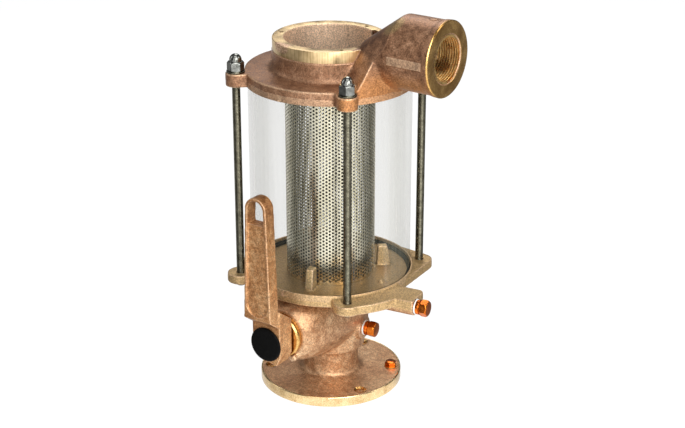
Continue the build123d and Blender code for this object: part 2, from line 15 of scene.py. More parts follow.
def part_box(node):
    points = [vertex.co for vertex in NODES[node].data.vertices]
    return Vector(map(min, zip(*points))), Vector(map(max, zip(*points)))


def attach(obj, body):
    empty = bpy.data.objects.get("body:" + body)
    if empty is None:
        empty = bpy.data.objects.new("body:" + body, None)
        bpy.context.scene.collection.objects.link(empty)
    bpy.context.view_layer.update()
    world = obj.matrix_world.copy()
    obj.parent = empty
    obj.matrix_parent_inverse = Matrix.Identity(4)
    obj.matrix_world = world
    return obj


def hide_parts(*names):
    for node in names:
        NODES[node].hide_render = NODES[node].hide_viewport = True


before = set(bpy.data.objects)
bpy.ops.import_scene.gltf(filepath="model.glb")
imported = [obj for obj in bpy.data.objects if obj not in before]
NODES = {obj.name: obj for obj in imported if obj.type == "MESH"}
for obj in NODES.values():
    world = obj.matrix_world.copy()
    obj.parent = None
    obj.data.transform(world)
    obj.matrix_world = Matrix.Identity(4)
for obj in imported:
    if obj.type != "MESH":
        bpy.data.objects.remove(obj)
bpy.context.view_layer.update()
MM = 0.001
ROD_AZIMUTHS = (45, 135, 225, 315)
ROD_CIRCLE_R = 90.0
STEM_Z = 77.6
OUTLET_Z = 356.0
PLUG_AZIMUTH = 8                    # both pipe plugs point this way
SERVICE_Z = 60.5
SERVICE_FACE_R = 38.0
FIXING_AZIMUTHS = (-27, 93, 213)
BONDING_AZIMUTH = 32
FIXING_CIRCLE_R = 60.8
LID_SCREW_AZIMUTHS = (-42, 78, 198)
LID_SCREW_CIRCLE_R = 48.3
TUBE_INNER_R, TUBE_OUTER_R = 72.75, 78.75
TUBE_LOW, TUBE_HIGH = 120.5, 317.5
SEAL_OUTER_R = 79.5
LIP_INNER_R, LIP_OUTER_R = 79.55, 81.18
BASE_LIP = (118.0, 124.42)          # lowest and highest point of each cast lip round the tube
HEAD_LIP = (313.6, 320.0)
RIM_LOW, RIM_TOP = 345.2, 356.88
BASKET_OUTER_R, BASKET_INNER_R = 43.4, 42.6
BASKET_LOW, BASKET_HIGH = 118.5, 330.0


# ---------------------------------------------------------------- geometry
def polar(radius, azimuth, z=0.0):
    a = math.radians(azimuth)
    return Vector((radius * math.cos(a), radius * math.sin(a), z))


def turned(x=0.0, y=0.0, z=0.0):
    """Rotation by degrees about X, then Y, then Z."""
    return (Matrix.Rotation(math.radians(z), 4, "Z") @ Matrix.Rotation(math.radians(y), 4, "Y")
            @ Matrix.Rotation(math.radians(x), 4, "X"))


def at(point):
    return Matrix.Translation(Vector(point))


STEM = at((0, 0, STEM_Z)) @ turned(x=90)         # local +Z runs out along the valve stem
OUTLET = at((0, 0, OUTLET_Z)) @ turned(y=90)      # local +Z runs out along the outlet
DRAIN = at((112.5, -19.0, 113.2)) @ turned(y=90, z=PLUG_AZIMUTH)
SERVICE = at(polar(SERVICE_FACE_R, PLUG_AZIMUTH, SERVICE_Z)) @ turned(y=90, z=PLUG_AZIMUTH)


def piece(name, verts, faces, body, material, slot, replaces=(), place=Matrix(), sharp=35, mend=True):
    """A new object from points in millimetres, riding on a body of the frame."""
    mesh = bpy.data.meshes.new(name)
    points = np.asarray(verts, dtype=float)
    turn = np.array(place.to_3x3())
    move = np.array(place.translation)
    points = (points @ turn.T + move) * MM
    mesh.from_pydata(points.tolist(), [], faces)
    if mend:
        work = bmesh.new()
        work.from_mesh(mesh)
        bmesh.ops.remove_doubles(work, verts=work.verts, dist=1e-7)
        bmesh.ops.recalc_face_normals(work, faces=work.faces)
        work.to_mesh(mesh)
        work.free()
    mesh.validate()
    mesh.shade_smooth()
    if sharp:
        mesh.set_sharp_from_angle(angle=math.radians(sharp))
    mesh.materials.append(material)
    thing = bpy.data.objects.new(name, mesh)
    bpy.context.scene.collection.objects.link(thing)
    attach(thing, body)
    if replaces:
        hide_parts(*replaces)
    return thing


def sweep_rings(rings, closed=False, cap_first=False, cap_last=False):
    """Quads between rings of equally many points.  closed joins the last ring to the first."""
    n, count = len(rings[0]), len(rings)
    verts = [tuple(p) for ring in rings for p in ring]
    faces = []
    for i in range(count if closed else count - 1):
        a, b = i * n, (i + 1) % count * n
        faces += [(a + j, a + (j + 1) % n, b + (j + 1) % n, b + j) for j in range(n)]
    if cap_first:
        faces.append(tuple(range(n - 1, -1, -1)))
    if cap_last:
        faces.append(tuple((count - 1) * n + j for j in range(n)))
    return verts, faces


def ring_of(radius, angles, z):
    """The points of one level ring about Z."""
    return np.stack([radius * np.cos(angles), radius * np.sin(angles), np.full(len(angles), float(z))], 1)


def full_turn(segments):
    return np.linspace(0, 2 * math.pi, segments, endpoint=False)


def soften(profile, radius, steps=3):
    """Rounds the corners of a closed profile of radius and height with small arcs."""
    out = []
    n = len(profile)
    for i in range(n):
        before, here, after = (Vector(profile[k % n]) for k in (i - 1, i, i + 1))
        u, v = before - here, after - here
        r = min(radius, u.length * 0.45, v.length * 0.45)
        if r < 1e-6 or abs(u.normalized().dot(v.normalized())) > 0.995:
            out.append(tuple(here))
            continue
        a, b = here + u.normalized() * r, here + v.normalized() * r
        for s in range(steps + 1):
            t = s / steps
            out.append(tuple(a * (1 - t) ** 2 + here * 2 * t * (1 - t) + b * t ** 2))
    return out


def lathe(profile, segments=128, soft=0.0, ripple=None):
    """A ring about Z from a closed profile of radius and height."""
    if soft:
        profile = soften(profile, soft)
    angles = full_turn(segments)
    rings = []
    for r, z in profile:
        radius = r if ripple is None else r + ripple(angles, z)
        rings.append(ring_of(radius, angles, z))
    return sweep_rings(rings, closed=True)


def turned_solid(profile, segments):
    """A solid about Z from a line of radius and height that starts and ends on the axis."""
    angles = full_turn(segments)
    rings = [ring_of(r, angles, z) for r, z in profile]
    return sweep_rings(rings, cap_first=True, cap_last=True)


def hexagon_head(flats, levels):
    """A hexagonal prism about Z with slightly worn corners.

    levels are (height, largest radius) pairs: the chamfer's cone cuts the corners.
    """
    crisp = 170
    angles = full_turn(144)
    total = sum(np.maximum(0.0, np.cos(angles - math.radians(60 * k))) ** crisp for k in range(6))
    flat = flats / 2 / total ** (1 / crisp)
    rings = []
    for z, limit in levels:
        radius = (flat ** -60.0 + limit ** -60.0) ** (-1 / 60.0)
        rings.append(ring_of(radius, angles, z))
    return sweep_rings(rings, cap_first=True, cap_last=True)


def helix(radius_at, low, high, pitch, segments=24):
    """A screw thread about Z.  radius_at lists (share of the pitch, radius) points of one turn's profile."""
    turns = int(math.ceil((high - low) / pitch)) + 1
    steps, k = turns * segments, len(radius_at)
    verts, faces = [], []
    for i in range(steps + 1):
        angle = 2 * math.pi * i / segments
        for share, radius in radius_at:
            z = low + pitch * (i / segments - 1 + share)
            verts.append((radius * math.cos(angle), radius * math.sin(angle), min(max(z, low), high)))
    for i in range(steps):
        for j in range(k):
            if j < k - 1:
                faces.append((i * k + j, (i + 1) * k + j, (i + 1) * k + j + 1, i * k + j + 1))
            elif i + 1 + segments <= steps:
                faces.append((i * k + j, (i + 1) * k + j, (i + 1 + segments) * k, (i + segments) * k))
    return verts, faces


def join(*parts):
    """Several (verts, faces) as one."""
    verts, faces = [], []
    for v, f in parts:
        base = len(verts)
        verts += [tuple(p) for p in v]
        faces += [tuple(i + base for i in face) for face in f]
    return verts, faces


def moved(part, place):
    return [tuple(place @ Vector(p)) for p in part[0]], part[1]


# ------------------------------------------------------- castings from the frame
def lattice_noise(points, size, seed):
    """Smooth seeded noise between -1 and 1 at points in millimetres."""
    grid = np.random.RandomState(seed).uniform(-1, 1, (32, 32, 32))
    p = points / size
    cell = np.floor(p).astype(int)
    f = p - cell
    f = f * f * (3 - 2 * f)
    total = np.zeros(len(points))
    for dx in (0, 1):
        for dy in (0, 1):
            for dz in (0, 1):
                weight = ((f[:, 0] if dx else 1 - f[:, 0]) * (f[:, 1] if dy else 1 - f[:, 1])
                          * (f[:, 2] if dz else 1 - f[:, 2]))
                total += weight * grid[(cell[:, 0] + dx) % 32, (cell[:, 1] + dy) % 32, (cell[:, 2] + dz) % 32]
    return total


def casting(name, node, body, material, voxel, rounding, fillets,
            hold=None, shape=None, grain=0.05, seed=1):
    """A copy of a cast node with worn edges, cast fillets in its inner corners and a slightly uneven skin.

    hold(points) gives how free each point is, from 0 to 1; shape(points) gives extra offsets along the
    normals.  rounding and fillets count the smoothing passes over the edges and the inner corners.
    """
    mesh = NODES[node].data.copy()
    thing = bpy.data.objects.new(name, mesh)
    bpy.context.scene.collection.objects.link(thing)
    skin = thing.modifiers.new("skin", "REMESH")
    skin.mode = "VOXEL"
    skin.voxel_size = voxel * MM * 1.0
    skin.use_smooth_shade = True
    made = bpy.data.meshes.new_from_object(thing.evaluated_get(bpy.context.evaluated_depsgraph_get()))
    thing.modifiers.clear()
    thing.data = made
    made.name = name
    n = len(made.vertices)
    co = np.empty(n * 3)
    made.vertices.foreach_get("co", co)
    co = co.reshape(n, 3) / MM
    ends = np.empty(len(made.edges) * 2, dtype=np.int32)
    made.edges.foreach_get("vertices", ends)
    a, b = ends[0::2], ends[1::2]
    both, other = np.concatenate([a, b]), np.concatenate([b, a])
    degree = np.maximum(np.bincount(both, minlength=n), 1)[:, None]
    free = np.ones(n) if hold is None else hold(co)
    free = free[:, None]

    def pull(points):
        near = points[other]
        sums = [np.bincount(both, weights=near[:, k], minlength=n) for k in range(3)]
        return np.stack(sums, 1) / degree - points

    def normals(points):
        made.vertices.foreach_set("co", (points * MM).ravel())
        made.update()
        out = np.empty(n * 3)
        made.vertex_normals.foreach_get("vector", out)
        return out.reshape(n, 3)

    for _ in range(rounding):
        co = co + 0.5 * pull(co) * free
    for turn in range(fillets):
        if turn % 6 == 0:
            outward = normals(co)
        step = pull(co)
        along = (step * outward).sum(1)[:, None]
        step = np.maximum(along, 0) * outward + 0.3 * (step - along * outward)
        co = co + 0.8 * step * free
    for _ in range(3):
        co = co + 0.4 * pull(co) * free
    outward = normals(co)
    rough = (0.6 * lattice_noise(co, 3.1, seed) + 0.4 * lattice_noise(co, 1.4, seed + 1)
             + 0.9 * lattice_noise(co, 11.0, seed + 2) - 1.0)
    co = co + outward * (rough[:, None] * grain * free)
    if shape is not None:
        co = co + outward * shape(co)[:, None]
    low, high = (np.array(v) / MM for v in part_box(node))
    co = np.clip(co, low + 0.01, high - 0.01)
    normals(co)
    made.materials.clear()
    made.materials.append(material)
    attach(thing, body)
    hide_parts(node)
    return thing


# ---------------------------------------------------------------- materials
def tint(red, green, blue):
    """A display colour of 0 to 255 as the shader's linear colour."""
    out = []
    for value in (red, green, blue):
        value /= 255
        out.append(value / 12.92 if value <= 0.04045 else ((value + 0.055) / 1.055) ** 2.4)
    return (*out, 1.0)


class Paint:
    """A small builder for one node material."""

    def __init__(self, name, metallic=0.0, roughness=0.5, **settings):
        self.material = bpy.data.materials.new(name)
        self.material.use_nodes = True
        self.tree = self.material.node_tree
        self.tree.nodes.clear()
        self.out = self.tree.nodes.new("ShaderNodeOutputMaterial")
        self.shader = self.tree.nodes.new("ShaderNodeBsdfPrincipled")
        self.tree.links.new(self.shader.outputs[0], self.out.inputs["Surface"])
        self.shader.inputs["Metallic"].default_value = metallic
        self.shader.inputs["Roughness"].default_value = roughness
        for key, value in settings.items():
            self.shader.inputs[key.replace("_", " ")].default_value = value
        self.where = self.tree.nodes.new("ShaderNodeTexCoord").outputs["Object"]
        self.last_normal = None

    def link(self, out, target):
        self.tree.links.new(out, target)

    def spread(self, stretch, move):
        node = self.tree.nodes.new("ShaderNodeMapping")
        node.inputs["Scale"].default_value = stretch
        node.inputs["Location"].default_value = move
        self.link(self.where, node.inputs["Vector"])
        return node.outputs[0]

    def noise(self, size, detail=3.0, rough=0.55, stretch=(1, 1, 1), move=(0, 0, 0), warp=0.0):
        """Noise whose features are about size millimetres across."""
        node = self.tree.nodes.new("ShaderNodeTexNoise")
        node.inputs["Scale"].default_value = 1000.0 / size
        node.inputs["Detail"].default_value = detail
        node.inputs["Roughness"].default_value = rough
        node.inputs["Distortion"].default_value = warp
        self.link(self.spread(stretch, move), node.inputs["Vector"])
        return node.outputs["Fac"]

    def position(self, axis):
        node = self.tree.nodes.new("ShaderNodeSeparateXYZ")
        self.link(self.where, node.inputs[0])
        return node.outputs[axis]

    def math(self, operation, first, second=0.0):
        node = self.tree.nodes.new("ShaderNodeMath")
        node.operation = operation
        for socket, value in zip(node.inputs, (first, second)):
            if isinstance(value, (int, float)):
                socket.default_value = value
            else:
                self.link(value, socket)
        return node.outputs[0]

    def plus(self, first, second):
        return self.math("ADD", first, second)

    def less(self, first, second):
        return self.math("SUBTRACT", first, second)

    def times(self, first, second):
        return self.math("MULTIPLY", first, second)

    def square(self, value):
        return self.math("POWER", value, 2.0)

    def reach(self):
        """Distance from the strainer's axis."""
        x, y = self.position(0), self.position(1)
        return self.math("SQRT", self.plus(self.times(x, x), self.times(y, y)))

    def between(self, value, low, high, to_low=0.0, to_high=1.0):
        """A smooth step from to_low, where value is low, to to_high, where it is high."""
        node = self.tree.nodes.new("ShaderNodeMapRange")
        node.interpolation_type = "SMOOTHSTEP"
        self.link(value, node.inputs["Value"])
        for key, number in (("From Min", low), ("From Max", high), ("To Min", to_low), ("To Max", to_high)):
            node.inputs[key].default_value = number
        return node.outputs[0]

    def ramp(self, value, stops):
        node = self.tree.nodes.new("ShaderNodeValToRGB")
        marks = node.color_ramp.elements
        while len(marks) < len(stops):
            marks.new(0.5)
        for mark, (place, colour) in zip(marks, sorted(stops)):
            mark.position = place
            mark.color = colour
        self.link(value, node.inputs[0])
        return node.outputs[0]

    def mix(self, share, first, second, mode="MIX"):
        node = self.tree.nodes.new("ShaderNodeMix")
        node.data_type = "RGBA"
        node.blend_type = mode
        for socket, value in ((node.inputs[0], share), (node.inputs[6], first), (node.inputs[7], second)):
            if isinstance(value, (int, float, tuple)):
                socket.default_value = value
            else:
                self.link(value, socket)
        return node.outputs[2]

    def bump(self, height, depth, strength=1.0):
        """Relief of about depth millimetres."""
        node = self.tree.nodes.new("ShaderNodeBump")
        node.inputs["Strength"].default_value = strength
        node.inputs["Distance"].default_value = depth * MM
        self.link(height, node.inputs["Height"])
        if self.last_normal is not None:
            self.link(self.last_normal, node.inputs["Normal"])
        self.last_normal = node.outputs[0]
        self.link(self.last_normal, self.shader.inputs["Normal"])

    def colour(self, value):
        self.link(value, self.shader.inputs["Base Color"])

    def rough(self, value):
        self.link(value, self.shader.inputs["Roughness"])


def cast_bronze(name, dark, middle, light, low_rough=0.36, high_rough=0.54, tone=None):
    """Sand-cast bronze: broad stains, small mottling and a fine pitted skin, with painted highlights on
    convex edges and painted shade in creases.
    """
    relief = 0.09
    p = Paint(name, metallic=0.68)
    broad = p.noise(42, 2, 0.5, warp=0.3)
    spots = p.noise(6, 4, 0.62, move=(3, 1, 2))
    fine = p.noise(1.35, 2, 0.6, move=(1, 5, 3))
    blend = p.plus(p.times(broad, 0.4), p.times(spots, 0.6))
    base = p.ramp(blend, [(0.34, dark), (0.5, middle), (0.68, light)])
    if tone is not None:
        base = tone(p, base)
    curvature_for_painted_light = p.tree.nodes.new("ShaderNodeNewGeometry").outputs["Pointiness"]
    # painted highlight: convex edges are painted pale
    base = p.mix(p.between(curvature_for_painted_light, 0.506, 0.545, 0.0, 0.6), base, tint(250, 214, 176))
    # painted shade: creases and inner corners are painted dark
    base = p.mix(p.between(curvature_for_painted_light, 0.49, 0.44, 0.0, 0.35), base, tint(96, 62, 44))
    speck = p.ramp(fine, [(0.34, tint(96, 84, 80)), (0.5, tint(196, 192, 188)), (0.64, tint(255, 252, 248))])
    p.colour(p.mix(0.6, base, speck, "MULTIPLY"))
    p.rough(p.between(spots, 0.3, 0.7, low_rough, high_rough))
    p.bump(p.noise(3.2, 3, 0.6, move=(7, 2, 4)), relief * 2.2, 0.6)
    p.bump(fine, relief, 0.8)
    return p


def machined_bronze(name, dark, light, rough, marks=1.0, stretch=(1, 1, 1)):
    """Turned bronze: bright metal with fine tool marks and a faint tarnish."""
    p = Paint(name, metallic=1.0)
    streak = p.noise(marks, 2, 0.6, stretch=stretch)
    cloud = p.noise(14, 3, 0.6, warp=0.3)
    p.colour(p.ramp(p.plus(p.times(streak, 0.5), p.times(cloud, 0.5)), [(0.36, dark), (0.62, light)]))
    p.rough(p.between(cloud, 0.3, 0.7, rough - 0.06, rough + 0.1))
    p.bump(streak, 0.06, 0.5)
    return p


def steel(name, dark, light, rough, scratch):
    """Polished or drawn metal with a cloudy tone and fine scratches."""
    p = Paint(name, metallic=1.0)
    cloud = p.noise(6, 3, 0.6)
    lines = p.noise(0.8, 2, 0.6, stretch=(1, 1, 0.2))
    p.colour(p.ramp(cloud, [(0.3, dark), (0.7, light)]))
    p.rough(p.between(lines, 0.3, 0.7, max(rough - 0.05, 0.03), rough + 0.06))
    p.bump(lines, scratch, 0.5)
    return p


def head_tone_and_painted_light(p, base):
    """A painted highlight on the flat along the outlet's side, a khaki shoulder, painted orange bounce light
    on the cheek below and painted light on the neck's inner wall.
    """
    x, y, z = (p.position(k) for k in range(3))
    # painted highlight: the flat along the outlet's side is painted pale
    level = p.between(p.math("ABSOLUTE", p.less(z, OUTLET_Z * MM)), 0.0034, 0.0042, 1.0, 0.0)
    along = p.times(p.between(x, 0.085, 0.088), p.between(x, 0.1215, 0.1235, 1.0, 0.0))
    flat = p.times(p.times(level, along), p.between(y, -0.0345, -0.0335, 1.0, 0.0))
    base = p.mix(p.times(flat, 0.5), base, tint(226, 192, 158))
    gap = p.plus(p.square(p.less(x, 0.082)), p.square(p.plus(y, 0.017)))
    khaki = p.times(p.between(gap, 0.00004, 0.00014, 1.0, 0.0), p.between(z, 0.374, 0.379))
    base = p.mix(p.times(khaki, 0.75), base, tint(176, 150, 104))
    # painted bounce light: the cheek below the outlet is painted orange
    low = p.times(p.between(z, 0.328, 0.350, 1.0, 0.0), p.between(x, 0.052, 0.066))
    base = p.mix(p.times(low, 0.7), base, tint(214, 148, 88))
    # painted light: the neck's inner wall is painted pale pink-white
    painted_bore_light = p.times(p.between(p.reach(), 0.0452, 0.0460, 1.0, 0.0), p.between(z, 0.318, 0.322))
    return p.mix(painted_bore_light, base, tint(255, 222, 190))


def base_tone_and_painted_shade(p, base):
    """The plate is more golden than the valve body, its floor painted darker as shade and its fins paler."""
    z = p.position(2)
    base = p.mix(p.times(p.between(z, 0.108, 0.114), 0.7), base, tint(210, 182, 128))
    inside = p.between(p.reach(), 0.0782, 0.0790, 1.0, 0.0)
    # painted shade: the floor inside the sight tube is painted darker
    floor = p.times(inside, p.times(p.between(z, 0.1160, 0.1172), p.between(z, 0.1195, 0.1215, 1.0, 0.0)))
    base = p.mix(p.times(floor, 0.6), base, tint(152, 120, 72))
    fins = p.times(inside, p.between(z, 0.1205, 0.1230))
    return p.mix(p.times(fins, 0.6), base, tint(236, 208, 152))


HEAD_CAST = cast_bronze("head bronze", tint(122, 84, 60), tint(160, 118, 88), tint(196, 154, 122),
                        tone=head_tone_and_painted_light).material
BASE_CAST = cast_bronze("base bronze", tint(172, 122, 84), tint(212, 166, 124), tint(244, 208, 166),
                        tone=base_tone_and_painted_shade).material
LEVER_CAST = cast_bronze("lever bronze", tint(170, 114, 70), tint(210, 154, 102), tint(242, 196, 144),
                         0.34, 0.5).material
TURNED = machined_bronze("turned bronze", tint(176, 128, 66), tint(232, 188, 118), 0.2).material
# painted light: the thread is a brighter copy of the turned bronze, standing in for light inside the outlet's
# bore
THREAD_PAINTED_BRIGHT = machined_bronze("thread bronze painted bright", tint(206, 158, 86), tint(250, 216, 146), 0.3).material
EDGE = machined_bronze("flange edge bronze", tint(196, 160, 108), tint(250, 222, 172), 0.22).material
COPPER = steel("copper alloy", tint(182, 86, 20), tint(234, 130, 46), 0.19, 0.02).material
STAINLESS = steel("stainless", tint(76, 73, 60), tint(116, 112, 96), 0.22, 0.003).material
POLISHED = steel("polished stainless", tint(96, 97, 92), tint(150, 151, 146), 0.14, 0.01).material


def make_rim():
    """Turned rim with upright chatter marks and one spot that the tool never reached."""
    p = machined_bronze("turned rim", tint(174, 146, 102), tint(234, 206, 158), 0.34, 1.6, (1, 1, 0.05))
    x, y, z = (p.position(k) for k in range(3))
    gap = p.plus(p.square(p.times(p.plus(x, 0.020), 0.75)), p.square(p.times(p.less(z, 0.3545), 1.5)))
    spot = p.times(p.between(gap, 0.00004, 0.00009, 1.0, 0.0), p.between(y, -0.046, -0.043, 1.0, 0.0))
    clean = p.shader.inputs["Base Color"].links[0].from_socket
    rough = p.ramp(p.noise(1.4, 3, 0.6), [(0.36, tint(150, 112, 84)), (0.64, tint(236, 200, 166))])
    p.colour(p.mix(spot, clean, rough))
    return p.material


RIM = make_rim()


def make_basket_steel():
    """Perforated steel sheet, bright outside and painted dark inside for shade, with a few rust stains and a
    painted golden reflection of the bronze floor low down.
    """
    p = Paint("basket steel", metallic=1.0)
    cloud = p.noise(16, 3, 0.6, stretch=(1, 1, 0.4))
    rust = p.noise(9, 4, 0.65, move=(4, 4, 1), warp=0.6)
    clean = p.ramp(cloud, [(0.3, tint(196, 188, 160)), (0.7, tint(236, 232, 212))])
    stains_and_painted_reflection = p.mix(p.between(rust, 0.66, 0.76), clean, tint(150, 92, 48))
    reach = p.reach()
    # painted reflection: golden patches low on the basket stand for the bronze floor's reflection
    painted_reflection_blotch = p.noise(22, 2, 0.5, move=(2, 7, 5))
    low = p.times(p.between(p.position(2), 0.158, 0.126), p.between(painted_reflection_blotch, 0.4, 0.6))
    stains_and_painted_reflection = p.mix(p.times(low, 0.6), stains_and_painted_reflection, tint(196, 160, 84))
    # painted shade: the inner skin is painted dark brown
    outside = p.between(reach, (BASKET_OUTER_R - 0.05) * MM, (BASKET_OUTER_R - 0.01) * MM)
    p.colour(p.mix(outside, tint(46, 38, 26), stains_and_painted_reflection))
    p.rough(p.between(cloud, 0.3, 0.7, 0.2, 0.3))
    return p.material


def make_black(name, rough, grain, shade):
    p = Paint(name, roughness=rough, Specular_IOR_Level=0.08)
    dark, light = tint(shade, shade, shade), tint(shade + 9, shade + 9, shade + 8)
    p.colour(p.ramp(p.noise(2.5, 3), [(0.3, dark), (0.7, light)]))
    p.rough(p.between(p.noise(5, 3), 0.3, 0.7, rough - 0.05, rough + 0.08))
    p.bump(p.noise(grain, 2), 0.03, 0.5)
    return p.material


def make_white(name, shade, rough):
    p = Paint(name, roughness=rough)
    dark, light = tint(shade - 22, shade - 24, shade - 28), tint(shade, shade, shade - 3)
    p.colour(p.ramp(p.noise(1.6, 3), [(0.3, dark), (0.7, light)]))
    p.bump(p.noise(0.9, 3), 0.08, 0.8)
    return p.material


def make_clear():
    """Clear acrylic: a thin grey veil that thickens where the wall is seen at a slant, with upright streaks
    painted as reflections.
    """
    p = Paint("clear tube", roughness=0.04, IOR=1.49)
    # painted reflection: upright streaks, up to near white, stand for the lamps' reflections
    streak = p.noise(4.5, 2, 0.6, stretch=(1, 1, 0.02))
    greys_and_painted_reflections = [(0.4, tint(152, 151, 132)), (0.62, tint(178, 177, 160)), (0.7, tint(252, 252, 246))]
    p.colour(p.ramp(streak, greys_and_painted_reflections))
    slant = p.tree.nodes.new("ShaderNodeLayerWeight")
    slant.inputs["Blend"].default_value = 0.5
    wall = p.plus(p.between(slant.outputs["Facing"], 0.28, 0.46, 0.006, 0.10),
                  p.between(streak, 0.4, 0.66, 0.0, 0.03))
    veil = p.plus(wall, p.times(slant.outputs["Fresnel"], 0.2))
    # the tube's inner surface adds little, and its cut ends nothing
    outer = p.between(p.reach(), (TUBE_INNER_R + 0.75) * MM, (TUBE_OUTER_R - 2.25) * MM, 0.12, 1.0)
    middle, half = (TUBE_LOW + TUBE_HIGH) / 2, (TUBE_HIGH - TUBE_LOW) / 2
    along = p.math("ABSOLUTE", p.less(p.position(2), middle * MM))
    ends = p.between(along, (half - 4.7) * MM, (half - 1.5) * MM, 1.0, 0.0)
    veil = p.times(p.times(veil, outer), ends)
    p.link(p.math("MINIMUM", p.plus(veil, 0.003), 1.0), p.shader.inputs["Alpha"])
    return p.material


BASKET = make_basket_steel()
BLACK_CAP = make_black("black moulding", 0.55, 1.2, 1)
RUBBER = make_black("black rubber", 0.7, 0.8, 5)
TAPE = make_white("thread tape", 246, 0.5)
SEAT = make_white("seat plastic", 232, 0.35)
CLEAR = make_clear()

BY_SLOT = {
    "cast_bronze": BASE_CAST, "cast_bronze_lever": LEVER_CAST, "cast_bronze_head": HEAD_CAST,
    "machined_bronze": TURNED, "copper_alloy": COPPER, "thread_tape": TAPE, "seat_plastic": SEAT,
    "stainless": STAINLESS, "polished_stainless": POLISHED, "black_plastic": BLACK_CAP,
    "black_rubber": RUBBER, "clear_tube": CLEAR, "basket_steel": BASKET,
}
KEPT = {
    "bonding_washer": "machined_bronze", "ball": "machined_bronze", "stem": "machined_bronze",
    "seat_upper": "seat_plastic", "seat_lower": "seat_plastic", "stem_thrust_washer": "seat_plastic",
    "stem_packing": "seat_plastic", "handle_screw": "stainless", "handle_washer": "stainless",
}
for node, slot_name in KEPT.items():
    thing = NODES[node]
    if not thing.material_slots:
        thing.data.materials.append(BY_SLOT[slot_name])
    for holder in thing.material_slots:
        holder.material = BY_SLOT[slot_name]


# ---------------------------------------------------------------- the castings
def radius_of(points):
    return np.hypot(points[:, 0], points[:, 1])


def smooth_gate(value, low, high):
    t = np.clip((value - low) / (high - low), 0, 1)
    return t * t * (3 - 2 * t)


def hold_base(points):
    """Keeps the lip round the sight tube as it is, and softens the fins and the service boss less."""
    r, z = radius_of(points), points[:, 2]
    lip = (r > 78.6) & (r < 81.0) & (z > 117.0)
    fins = (r > 43.0) & (r < 64.0) & (z > 119.5)
    out = points @ np.array(polar(1.0, PLUG_AZIMUTH))
    side = points @ np.array(polar(1.0, PLUG_AZIMUTH + 90))
    boss = (out > SERVICE_FACE_R - 4.5) & (np.hypot(side, z - SERVICE_Z) < 13.5)
    return np.where(lip, 0.0, np.where(fins | boss, 0.35, 1.0))


def sink_lip(points, low, high):
    """Draws the cast skin in behind the thin ring that stands for a lip."""
    r, z = radius_of(points), points[:, 2]
    return np.where((r > 80.9) & (z > low) & (z < high), 0.14, 0.0)


def shape_base(points):
    return -sink_lip(points, BASE_LIP[0] + 0.4, BASE_LIP[1] + 0.18)


def hold_head(points):
    """Keeps the lip round the sight tube and the turned rim as they are."""
    r, z = radius_of(points), points[:, 2]
    lip = (r > 78.0) & (r < 81.0) & (z < 320.6)
    rim = (z > 344.0) & (z < 357.2) & (r < 55.5) & (r > 43.0)
    return np.where(lip | rim, 0.0, 1.0)


def shape_head(points):
    """The cast knob on top of the outlet, the flat along its side, and the beds of the rim and the lip."""
    x, y, z = points.T
    gap = np.sqrt((x - 114.5) ** 2 + (1.5 * (y + 1.5)) ** 2)
    knob = np.where(z > 388.0, 0.85 * np.clip(1 - (gap / 4.6) ** 2, 0, 1) ** 0.4, 0.0)
    flat = (x > 85.5) & (x < 122.4) & (y < -30) & (np.abs(z - OUTLET_Z) < 3.9)
    rim = (z > 345.4) & (z < 357.2) & (radius_of(points) < 55.2) & (radius_of(points) > 44.6)
    rim &= (x < 44.0) | (np.abs(y) > 31.0)
    sunk = np.where(rim, 0.14, 0.0) + sink_lip(points, HEAD_LIP[0] - 0.2, HEAD_LIP[1] - 0.4)
    return knob + np.where(flat, np.clip(35.4 + y, 0.0, 0.9), 0.0) - sunk


casting("flange_and_tail", "mounting_flange", "housing", BASE_CAST, 0.85, 4, 36, seed=11)
casting("base_and_valve_body", "base_casting", "housing", BASE_CAST, 0.8, 3, 24,
        hold=hold_base, shape=shape_base, seed=21)
casting("strainer_head", "head_casting", "housing", HEAD_CAST, 0.8, 3, 26,
        hold=hold_head, shape=shape_head, seed=31)
casting("lever", "lever_handle", "lever", LEVER_CAST, 0.5, 3, 5, grain=0.035, seed=41)


# ------------------------------------------------- machined and cast-edge rings
def pierce(thing, centres, radius):
    """Drills upright round holes through a piece."""
    depth = 3.0
    cutters = []
    for centre in centres:
        v, f = turned_solid([(0, -depth), (radius, -depth), (radius, depth), (0, depth)], 24)
        mesh = bpy.data.meshes.new("drill")
        mesh.from_pydata([tuple((Vector(p) + centre) * MM) for p in v], [], f)
        cutters.append(bpy.data.objects.new("drill", mesh))
        bpy.context.scene.collection.objects.link(cutters[-1])
        cut = thing.modifiers.new("drill", "BOOLEAN")
        cut.operation, cut.solver, cut.object = "DIFFERENCE", "EXACT", cutters[-1]
    made = bpy.data.meshes.new_from_object(thing.evaluated_get(bpy.context.evaluated_depsgraph_get()))
    thing.modifiers.clear()
    thing.data = made
    for cutter in cutters:
        bpy.data.objects.remove(cutter)


